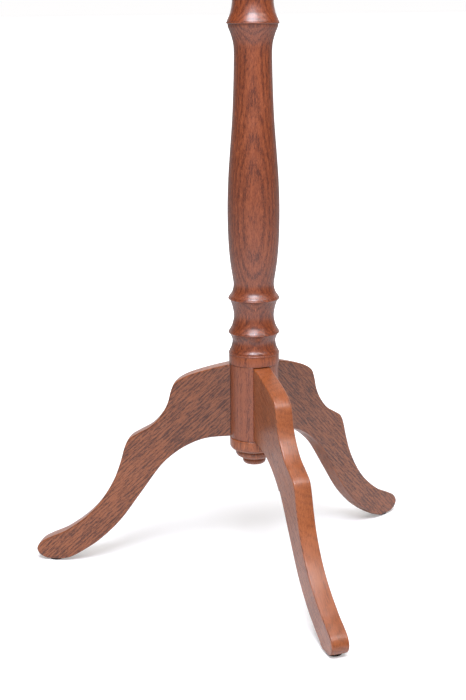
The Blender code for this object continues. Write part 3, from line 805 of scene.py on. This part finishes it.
def screw(name, position, direction, sizes, material, slot, body, node):
    """A countersunk screw with a slotted, slightly domed head."""
    head, shank, length = sizes
    cone = head - shank
    root = shank * THREAD_ROOT
    profile = [(0, 0), (head * 0.7, -0.02), (head - 0.15, -0.08), (head, -0.25)]
    profile += [(head, -SCREW_RIM), (shank, -SCREW_RIM - cone)]
    threads = int((length - SCREW_POINT - 1.5 - cone) / THREAD_PITCH)
    for thread in range(1, threads + 1):
        z = -cone - thread * THREAD_PITCH
        profile += [(shank, z), (root, z - THREAD_PITCH / 2)]
    profile += [(root, SCREW_POINT - length), (0, -length)]
    turn = turn_along(direction)
    made = place(turned(name, profile, 32), position, turn)
    half_groove = head * 0.12
    groove = box(
        f"{name}_groove", (-head - OVERRUN, -half_groove, -head * 0.22),
        (head + OVERRUN, half_groove, OVERRUN),
    )
    cut(made, [place(groove, position, turn)])
    return dressed(made, material, body, slot, node)


def screw_room(name, position, direction, sizes):
    """A tool that cuts the countersink and the hole for a screw."""
    head, shank, length = sizes
    head, shank = head + GAP, shank + GAP
    profile = [
        (0, SCREW_ROOM_HEIGHT), (head, SCREW_ROOM_HEIGHT), (head, -0.5),
        (shank, -0.5 - head + shank), (shank, -length - 0.5), (0, -length - 0.5),
    ]
    return place(turned(name, profile, 32), position, turn_along(direction))


# ---------------------------------------------------------------- tilt block

def make_block():
    """The block on top of the column, rounded at the hinge, with room for all that enters it."""
    rear = arc((PIVOT_Y, PIVOT_Z), BLOCK_THICKNESS / 2, -90, 90, 24)
    corner, corner_y = BLOCK_CORNER, BLOCK_FRONT + BLOCK_CORNER
    front = arc((corner_y, BLOCK_TOP - corner), corner, 90, 180, 5)
    front += arc((corner_y, BLOCK_BOTTOM + corner), corner, 180, 270, 5)
    block = plank("shaped_block", rear + front, 2 * BLOCK_HALF_WIDTH, 1.2)
    block.matrix_world = about_z(90)
    bottom, top = BLOCK_BOTTOM - OVERRUN, BLOCK_TOP + OVERRUN
    before = BLOCK_FRONT - OVERRUN
    tools = [rod("tenon_room", TENON_RADIUS + GAP, bottom, top, "z", 96)]
    for sign in (-1, 1):
        ends = sorted((
            sign * (BLOCK_HALF_WIDTH + OVERRUN), sign * (BLOCK_HALF_WIDTH - PIN_IN_BLOCK - GAP)
        ))
        hole = rod(f"pin_room_{sign}", PIN_RADIUS + GAP, *ends, "x")
        tools.append(shifted(hole, y=PIVOT_Y, z=PIVOT_Z))
        room = rod(f"strike_screw_room_{sign}", 1.8, before, BLOCK_FRONT + 13, "y", 24)
        tools.append(shifted(room, x=sign * STRIKE_SCREW_X, z=BOLT_MIDDLE))
    tools.append(box(
        "strike_room",
        (-STRIKE_HALF_WIDTH - GAP, before, BOLT_MIDDLE - STRIKE_HALF_HEIGHT - GAP),
        (STRIKE_HALF_WIDTH + GAP, BLOCK_FRONT + STRIKE_THICKNESS + GAP, top),
    ))
    tools.append(box(
        "bolt_room", (-BOLT_HALF_WIDTH - BOLT_PLAY, before, BOLT_BOTTOM - BOLT_PLAY),
        (BOLT_HALF_WIDTH + BOLT_PLAY, BOLT_TIP + 2, BOLT_TOP + BOLT_PLAY),
    ))
    cut(block, tools)
    return dressed(block, block_wood, "stand", "secondary_wood", "tilt_block")


def make_wedge():
    """The wedge that spreads the column's tenon in the block."""
    low, half_tip, half_head = TENON_TOP - WEDGE_LENGTH, 0.75, 1.5
    outline = [
        (-half_tip, low), (half_tip, low), (half_head, TENON_TOP), (-half_head, TENON_TOP),
    ]
    wedge = plank("driven_wedge", outline, 2 * (TENON_RADIUS - 3.0), 0.15, steps=2)
    wedge.matrix_world = about_z(90)
    return dressed(wedge, bearer_wood, "stand", "secondary_wood", "tenon_wedge")


def make_pin(side, sign):
    """A hinge pin, from inside the block to just short of the bearer's outer face."""
    ends = sorted((
        sign * (BLOCK_HALF_WIDTH - PIN_IN_BLOCK), sign * (BEARER_INNER_X + BEARER_WIDTH - 1.0)
    ))
    pin = rod(f"pin_{side}", PIN_RADIUS, *ends, "x", 64, rounding=0.6)
    shifted(pin, y=PIVOT_Y, z=PIVOT_Z)
    return dressed(pin, steel, "stand", "steel", f"pivot_pin_{side}")


def make_strike():
    """The brass plate on the block's front edge, its slot for the bolt, and its two screws."""
    plate = box(
        "plate_strike", (-STRIKE_HALF_WIDTH, BLOCK_FRONT, BOLT_MIDDLE - STRIKE_HALF_HEIGHT),
        (STRIKE_HALF_WIDTH, BLOCK_FRONT + STRIKE_THICKNESS, BLOCK_TOP - GAP), 0.3,
    )
    tools = [box(
        "strike_slot",
        (-BOLT_HALF_WIDTH - BOLT_PLAY, BLOCK_FRONT - OVERRUN, BOLT_BOTTOM - BOLT_PLAY),
        (BOLT_HALF_WIDTH + BOLT_PLAY, BLOCK_FRONT + 3, BOLT_TOP + BOLT_PLAY),
    )]
    heads = [(sign * STRIKE_SCREW_X, BLOCK_FRONT, BOLT_MIDDLE) for sign in (-1, 1)]
    for i, head in enumerate(heads):
        tools.append(screw_room(f"strike_head_room_{i}", head, (0, 1, 0), STRIKE_SCREW))
    cut(plate, tools)
    dressed(plate, brass, "stand", "brass", "strike_plate")
    for side, head in zip(("left", "right"), heads):
        screw(f"screw_strike_{side}", head, (0, 1, 0), STRIKE_SCREW, brass, "brass", "stand",
              f"strike_screw_{side}")


# ---------------------------------------------------------------- top and bearers

def make_tabletop():
    """The round top, with a thumb moulding on its rim below a small step."""
    high, radius = TOP_UNDERSIDE + TOP_THICKNESS, TOP_RADIUS
    step = radius - 12.0
    profile = [(0, high)] + [(radius * share, high) for share in (0.25, 0.5, 0.75, 0.9)]
    profile += [(step - 0.6, high), (step - 0.2, high - 0.1), (step, high - 0.4)]
    profile += [(step, high - 0.8), (step + 0.2, high - 1.0)]
    profile += arc((radius - 10.5, high - 10.5), 9.5, 90, 0, 16)
    profile += [(radius - 0.7, high - 10.7), (radius - 0.15, high - 10.9), (radius, high - 11.3)]
    profile += arc((radius - 3.0, TOP_UNDERSIDE + 3.0), 3.0, 0, -90, 8)
    profile += [(radius * share, TOP_UNDERSIDE) for share in (0.9, 0.6, 0.3, 0)]
    top = turned("round_top", profile, 256)
    return dressed(top, top_wood, "top", "polished_wood", "tabletop")


def make_bearer(side, sign):
    """A bar under the top with tapered ends, its hole for the hinge pin, and its screws."""
    high, low = TOP_UNDERSIDE - GAP, TOP_UNDERSIDE - BEARER_DEPTH
    end, reach = high - BEARER_END_DEPTH, BEARER_HALF_LENGTH
    hollow = curve_through(
        [(reach, end), (reach - 0.45 * BEARER_TAPER, end - 4.0), (reach - BEARER_TAPER, low)], 12
    )
    outline = (
        [(-reach, high), (reach, high)] + hollow + [(-x, z) for x, z in reversed(hollow)]
    )
    bearer = plank(f"shaped_bearer_{side}", outline, BEARER_WIDTH, 1.0)
    middle = BEARER_INNER_X + BEARER_WIDTH / 2
    place(bearer, (sign * middle, 0, 0), about_z(90))
    ends = sorted((
        sign * (BEARER_INNER_X - OVERRUN), sign * (BEARER_INNER_X + BEARER_WIDTH + OVERRUN)
    ))
    hole = rod(f"pivot_room_{side}", PIN_RADIUS + GAP, *ends, "x")
    tools = [shifted(hole, y=PIVOT_Y, z=PIVOT_Z)]
    heads = {w: (sign * middle, y, low + BEARER_SCREW_SINK) for w, y in BEARER_SCREW_Y.items()}
    for where, head in heads.items():
        tools.append(screw_room(f"bearer_room_{side}_{where}", head, (0, 0, 1), BEARER_SCREW))
    cut(bearer, tools)
    dressed(bearer, bearer_wood, "top", "secondary_wood", f"bearer_{side}")
    for where, head in heads.items():
        screw(f"screw_bearer_{side}_{where}", head, (0, 0, 1), BEARER_SCREW, steel, "steel",
              "top", f"bearer_screw_{side}_{where}")


# ---------------------------------------------------------------- catch

def make_catch_plate():
    """The brass plate screwed under the top, which carries the bolt's case."""
    high = TOP_UNDERSIDE - GAP
    low = high - PLATE_THICKNESS
    plate = box(
        "plate_catch", (-CATCH_HALF_WIDTH, CATCH_FRONT, low),
        (CATCH_HALF_WIDTH, CATCH_REAR, high), 0.4,
    )
    heads = {
        f"{side}_{where}": (x, y, low)
        for side, x in (("left", -CATCH_SCREW_X), ("right", CATCH_SCREW_X))
        for where, y in (
            ("front", CATCH_FRONT + CATCH_SCREW_INSET), ("rear", CATCH_REAR - CATCH_SCREW_INSET)
        )
    }
    cut(plate, [
        screw_room(f"plate_room_{w}", head, (0, 0, 1), CATCH_SCREW) for w, head in heads.items()
    ])
    dressed(plate, brass, "top", "brass", "catch_plate")
    for where, head in heads.items():
        screw(f"screw_catch_{where}", head, (0, 0, 1), CATCH_SCREW, brass, "brass", "top",
              f"catch_screw_{where}")


def make_catch_case():
    """The folded case, hollowed for the bolt and slotted for the knob's stem."""
    low = BOLT_BOTTOM - GAP - CASE_WALL
    high = TOP_UNDERSIDE - 2 * GAP - PLATE_THICKNESS
    case = box(
        "folded_case", (-CASE_HALF_WIDTH, CASE_FRONT, low), (CASE_HALF_WIDTH, CASE_REAR, high), 0.6
    )
    channel = box(
        "channel_room", (-BOLT_HALF_WIDTH - GAP, CASE_FRONT + CASE_WALL, low + CASE_WALL),
        (BOLT_HALF_WIDTH + GAP, CASE_REAR + OVERRUN, high + OVERRUN),
    )
    half_slot, slot_room = 2.4, 2.6
    slot = box(
        "knob_room", (-half_slot, KNOB_Y - BOLT_TRAVEL - slot_room, low - OVERRUN),
        (half_slot, KNOB_Y + slot_room, low + CASE_WALL + OVERRUN),
    )
    cut(case, [channel, slot])
    dressed(case, brass, "top", "brass", "catch_case")


def make_bolt():
    """The sliding bolt with a bevelled tip, and its turned knob."""
    outline = [
        (BOLT_TAIL, BOLT_TOP), (BOLT_TIP, BOLT_TOP), (BOLT_TIP, BOLT_TOP - 1.0),
        (BOLT_TIP - 3.5, BOLT_BOTTOM), (BOLT_TAIL, BOLT_BOTTOM),
    ]
    bolt = plank("sliding_bolt", outline, 2 * BOLT_HALF_WIDTH, 0.3, steps=3)
    bolt.matrix_world = about_z(90)
    hole = rod("stem_room", 1.8, BOLT_BOTTOM - OVERRUN, BOLT_BOTTOM + 3.4, "z", 32)
    cut(bolt, [shifted(hole, y=KNOB_Y)])
    dressed(bolt, brass, "bolt", "brass", "catch_bolt")

    stem_top, collar = BOLT_BOTTOM + 3.0, BOLT_BOTTOM - GAP
    neck = BOLT_BOTTOM - CASE_WALL - 2.0
    profile = [(0, stem_top), (1.5, stem_top), (1.5, collar), (2.0, collar)]
    profile += [(2.0, neck + 0.2), (2.3, neck)]
    profile += arc((1.2, neck - 4.6), 4.4, 70, -90, 24) + [(0, neck - 9.0)]
    knob = shifted(turned("turned_knob", profile, 48), y=KNOB_Y)
    dressed(knob, brass, "bolt", "brass", "catch_knob")


def make_spring():
    """A compression spring between the case's front wall and the bolt's tail."""
    coil, wire, turns, per_turn, sides = 1.7, 0.3, 7, 28, 8
    start = CASE_FRONT + CASE_WALL + GAP + wire
    length = BOLT_TAIL - GAP - wire - start
    verts, faces = [], []
    steps = turns * per_turn
    for step in range(steps + 1):
        angle = math.tau * step / per_turn
        out = Vector((math.cos(angle), 0, math.sin(angle)))
        centre = out * coil + Vector((0, start + length * step / steps, BOLT_MIDDLE))
        for k in range(sides):
            spin = math.tau * k / sides
            verts.append(
                centre + out * wire * math.cos(spin) + Vector((0, wire * math.sin(spin), 0))
            )
    for step in range(steps):
        for k in range(sides):
            j = (k + 1) % sides
            a, b = step * sides, (step + 1) * sides
            faces.append([a + k, b + k, b + j, a + j])
    faces.append(list(range(sides)))
    faces.append([steps * sides + k for k in range(sides)][::-1])
    spring = as_object("coil_spring", verts, faces, 60)
    dressed(spring, steel, "top", "steel", "catch_spring")
    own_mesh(spring)


# ---------------------------------------------------------------- set, light and camera

PEDESTAL = ("turned_column", "turned_drop", "carved_leg", "pad_", "floor")  # starts of names
FLOOR_HALF_SIZE = 60.0
WORLD_LIGHTS = (  # direction, where it starts and is full, as a cosine, and how much light
    ((0.34, 0.94, 0), 0.45, 0.85, 1.00),  # behind the table
    ((-0.34, -0.94, 0), 0.20, 0.95, 0.18),  # in front
    ((0, 0, 1), 0.30, 0.95, 0.30),  # overhead
)
WORLD_LEVEL = 0.06  # light from every other direction
LAMPS = (  # name, position, width, watts, colour
    ("key", (-0.50, -1.25, 2.00), 1.10, 72, (0.90, 0.93, 1.04)),
    ("right", (0.70, -1.2, 1.90), 0.90, 10, (1.0, 0.97, 0.95)),
    ("overhead", (0.0, -0.35, 2.6), 1.4, 20, (1.0, 0.98, 0.97)),
)
LAMP_TARGET = (0, 0, 0.35)


def make_floor():
    """A pale floor that glows where the camera sees it, a little under the table and more with
    distance: painted light, which also pales the shadows near the table.
    """
    far = FLOOR_HALF_SIZE
    mesh = bpy.data.meshes.new("floor")
    mesh.from_pydata(
        [(-far, -far, 0), (far, -far, 0), (far, far, 0), (-far, far, 0)], [], [(0, 1, 2, 3)]
    )
    floor = bpy.data.objects.new("floor", mesh)
    bpy.context.scene.collection.objects.link(floor)
    g = Graph(bpy.data.materials.new("pale_floor"))
    where = g.coordinates()
    away = g.node("VectorMath", operation="LENGTH")
    g.feed(away.inputs[0], where)
    seen = g.node("LightPath").outputs["Is Camera Ray"]
    mottle = g.noise(where, scale=3.0, detail=2.0, roughness=0.5)
    g.put(
        Base_Color=g.mix(mottle, (0.72, 0.72, 0.72), (0.75, 0.75, 0.75)),
        Roughness=0.7, Specular_IOR_Level=0.15, Emission_Color=(1.0, 1.0, 1.0, 1.0),
        Emission_Strength=g.times(seen, g.between(away.outputs["Value"], 0.30, 1.4, 0.34, 1.0)),
    )
    mesh.materials.append(g.owner)


def make_world():
    """A studio that is white to the camera, and lights the table mostly from behind."""
    world = bpy.data.worlds.new("studio")
    bpy.context.scene.world = world
    g = Graph(world)
    direction = g.node("TexCoord").outputs["Generated"]
    light = WORLD_LEVEL
    for towards, start, full, amount in WORLD_LIGHTS:
        dot = g.node("VectorMath", operation="DOT_PRODUCT")
        g.feed(dot.inputs[0], direction)
        dot.inputs[1].default_value = towards
        light = g.plus(light, g.between(dot.outputs["Value"], start, full, 0.0, amount))
    seen = g.node("LightPath").outputs["Is Camera Ray"]
    background = g.tree.nodes["Background"]
    background.inputs["Color"].default_value = (1.0, 0.99, 0.99, 1.0)
    g.feed(background.inputs["Strength"], g.blend(seen, light, 1.0))


def make_lamp(name, position, width, power, colour):
    """A round soft lamp that points at the pedestal."""
    data = bpy.data.lights.new(name, "AREA")
    data.shape = "DISK"
    data.size = width
    data.energy = power
    data.color = colour
    data.cycles.use_multiple_importance_sampling = False  # its rays would stop at the tabletop
    lamp = bpy.data.objects.new(name, data)
    bpy.context.scene.collection.objects.link(lamp)
    aim = Vector(LAMP_TARGET) - Vector(position)
    lamp.rotation_mode = "QUATERNION"
    lamp.rotation_quaternion = aim.to_track_quat("-Z", "Y")
    lamp.location = position


def let_light_past_the_top():
    """Light the pedestal and the floor as if nothing were over them.

    The photograph's pedestal stands in full light. Each lamp lights the pedestal and the floor,
    and only they shade each other in it. Its twin lights all the other pieces, which everything
    shades in the usual way.
    """
    pedestal = bpy.data.collections.new("pedestal_and_floor")
    others = bpy.data.collections.new("other_pieces")
    for thing in bpy.context.scene.objects:
        if thing.type == "MESH":
            group = pedestal if thing.name.startswith(PEDESTAL) else others
            group.objects.link(thing)
    for light in [o for o in bpy.context.scene.objects if o.type == "LIGHT"]:
        twin = light.copy()
        bpy.context.scene.collection.objects.link(twin)
        twin.light_linking.receiver_collection = others
        light.light_linking.receiver_collection = pedestal
        light.light_linking.blocker_collection = pedestal


def make_camera():
    """The photograph's viewpoint: about 1.67 m away, looking down by 14 degrees."""
    data = bpy.data.cameras.new("camera")
    data.sensor_width = 36.0
    data.lens = 70.63
    data.clip_end = 200.0
    camera = bpy.data.objects.new("camera", data)
    bpy.context.scene.collection.objects.link(camera)
    bearing, distance, height = math.radians(20.028), 1.5303, 0.657
    heading, pitch, roll = (math.radians(a) for a in (19.125, 14.270, -0.422))
    forward = Vector((
        math.sin(heading) * math.cos(pitch), math.cos(heading) * math.cos(pitch),
        -math.sin(pitch),
    ))
    right = Vector((math.cos(heading), -math.sin(heading), 0))
    up = right.cross(forward)
    tilted_right = right * math.cos(roll) + up * math.sin(roll)
    tilted_up = up * math.cos(roll) - right * math.sin(roll)
    turn = Matrix((tilted_right, tilted_up, -forward)).transposed().to_4x4()
    spot = Vector((-distance * math.sin(bearing), -distance * math.cos(bearing), height))
    camera.matrix_world = Matrix.Translation(spot) @ turn
    bpy.context.scene.camera = camera


# ---------------------------------------------------------------- build

make_column()
make_drop()
for leg_name, leg_angle in LEG_ANGLES.items():
    make_leg(leg_name, leg_angle)
    make_pad(leg_name, leg_angle)
make_block()
make_wedge()
for pin_side, pin_sign in (("left", -1), ("right", 1)):
    make_pin(pin_side, pin_sign)
    make_bearer(pin_side, pin_sign)
make_strike()
make_tabletop()
make_catch_plate()
make_catch_case()
make_bolt()
make_spring()
make_floor()
make_world()
for lamp_settings in LAMPS:
    make_lamp(*lamp_settings)
make_camera()
let_light_past_the_top()
bpy.context.scene.view_settings.view_transform = "Standard"
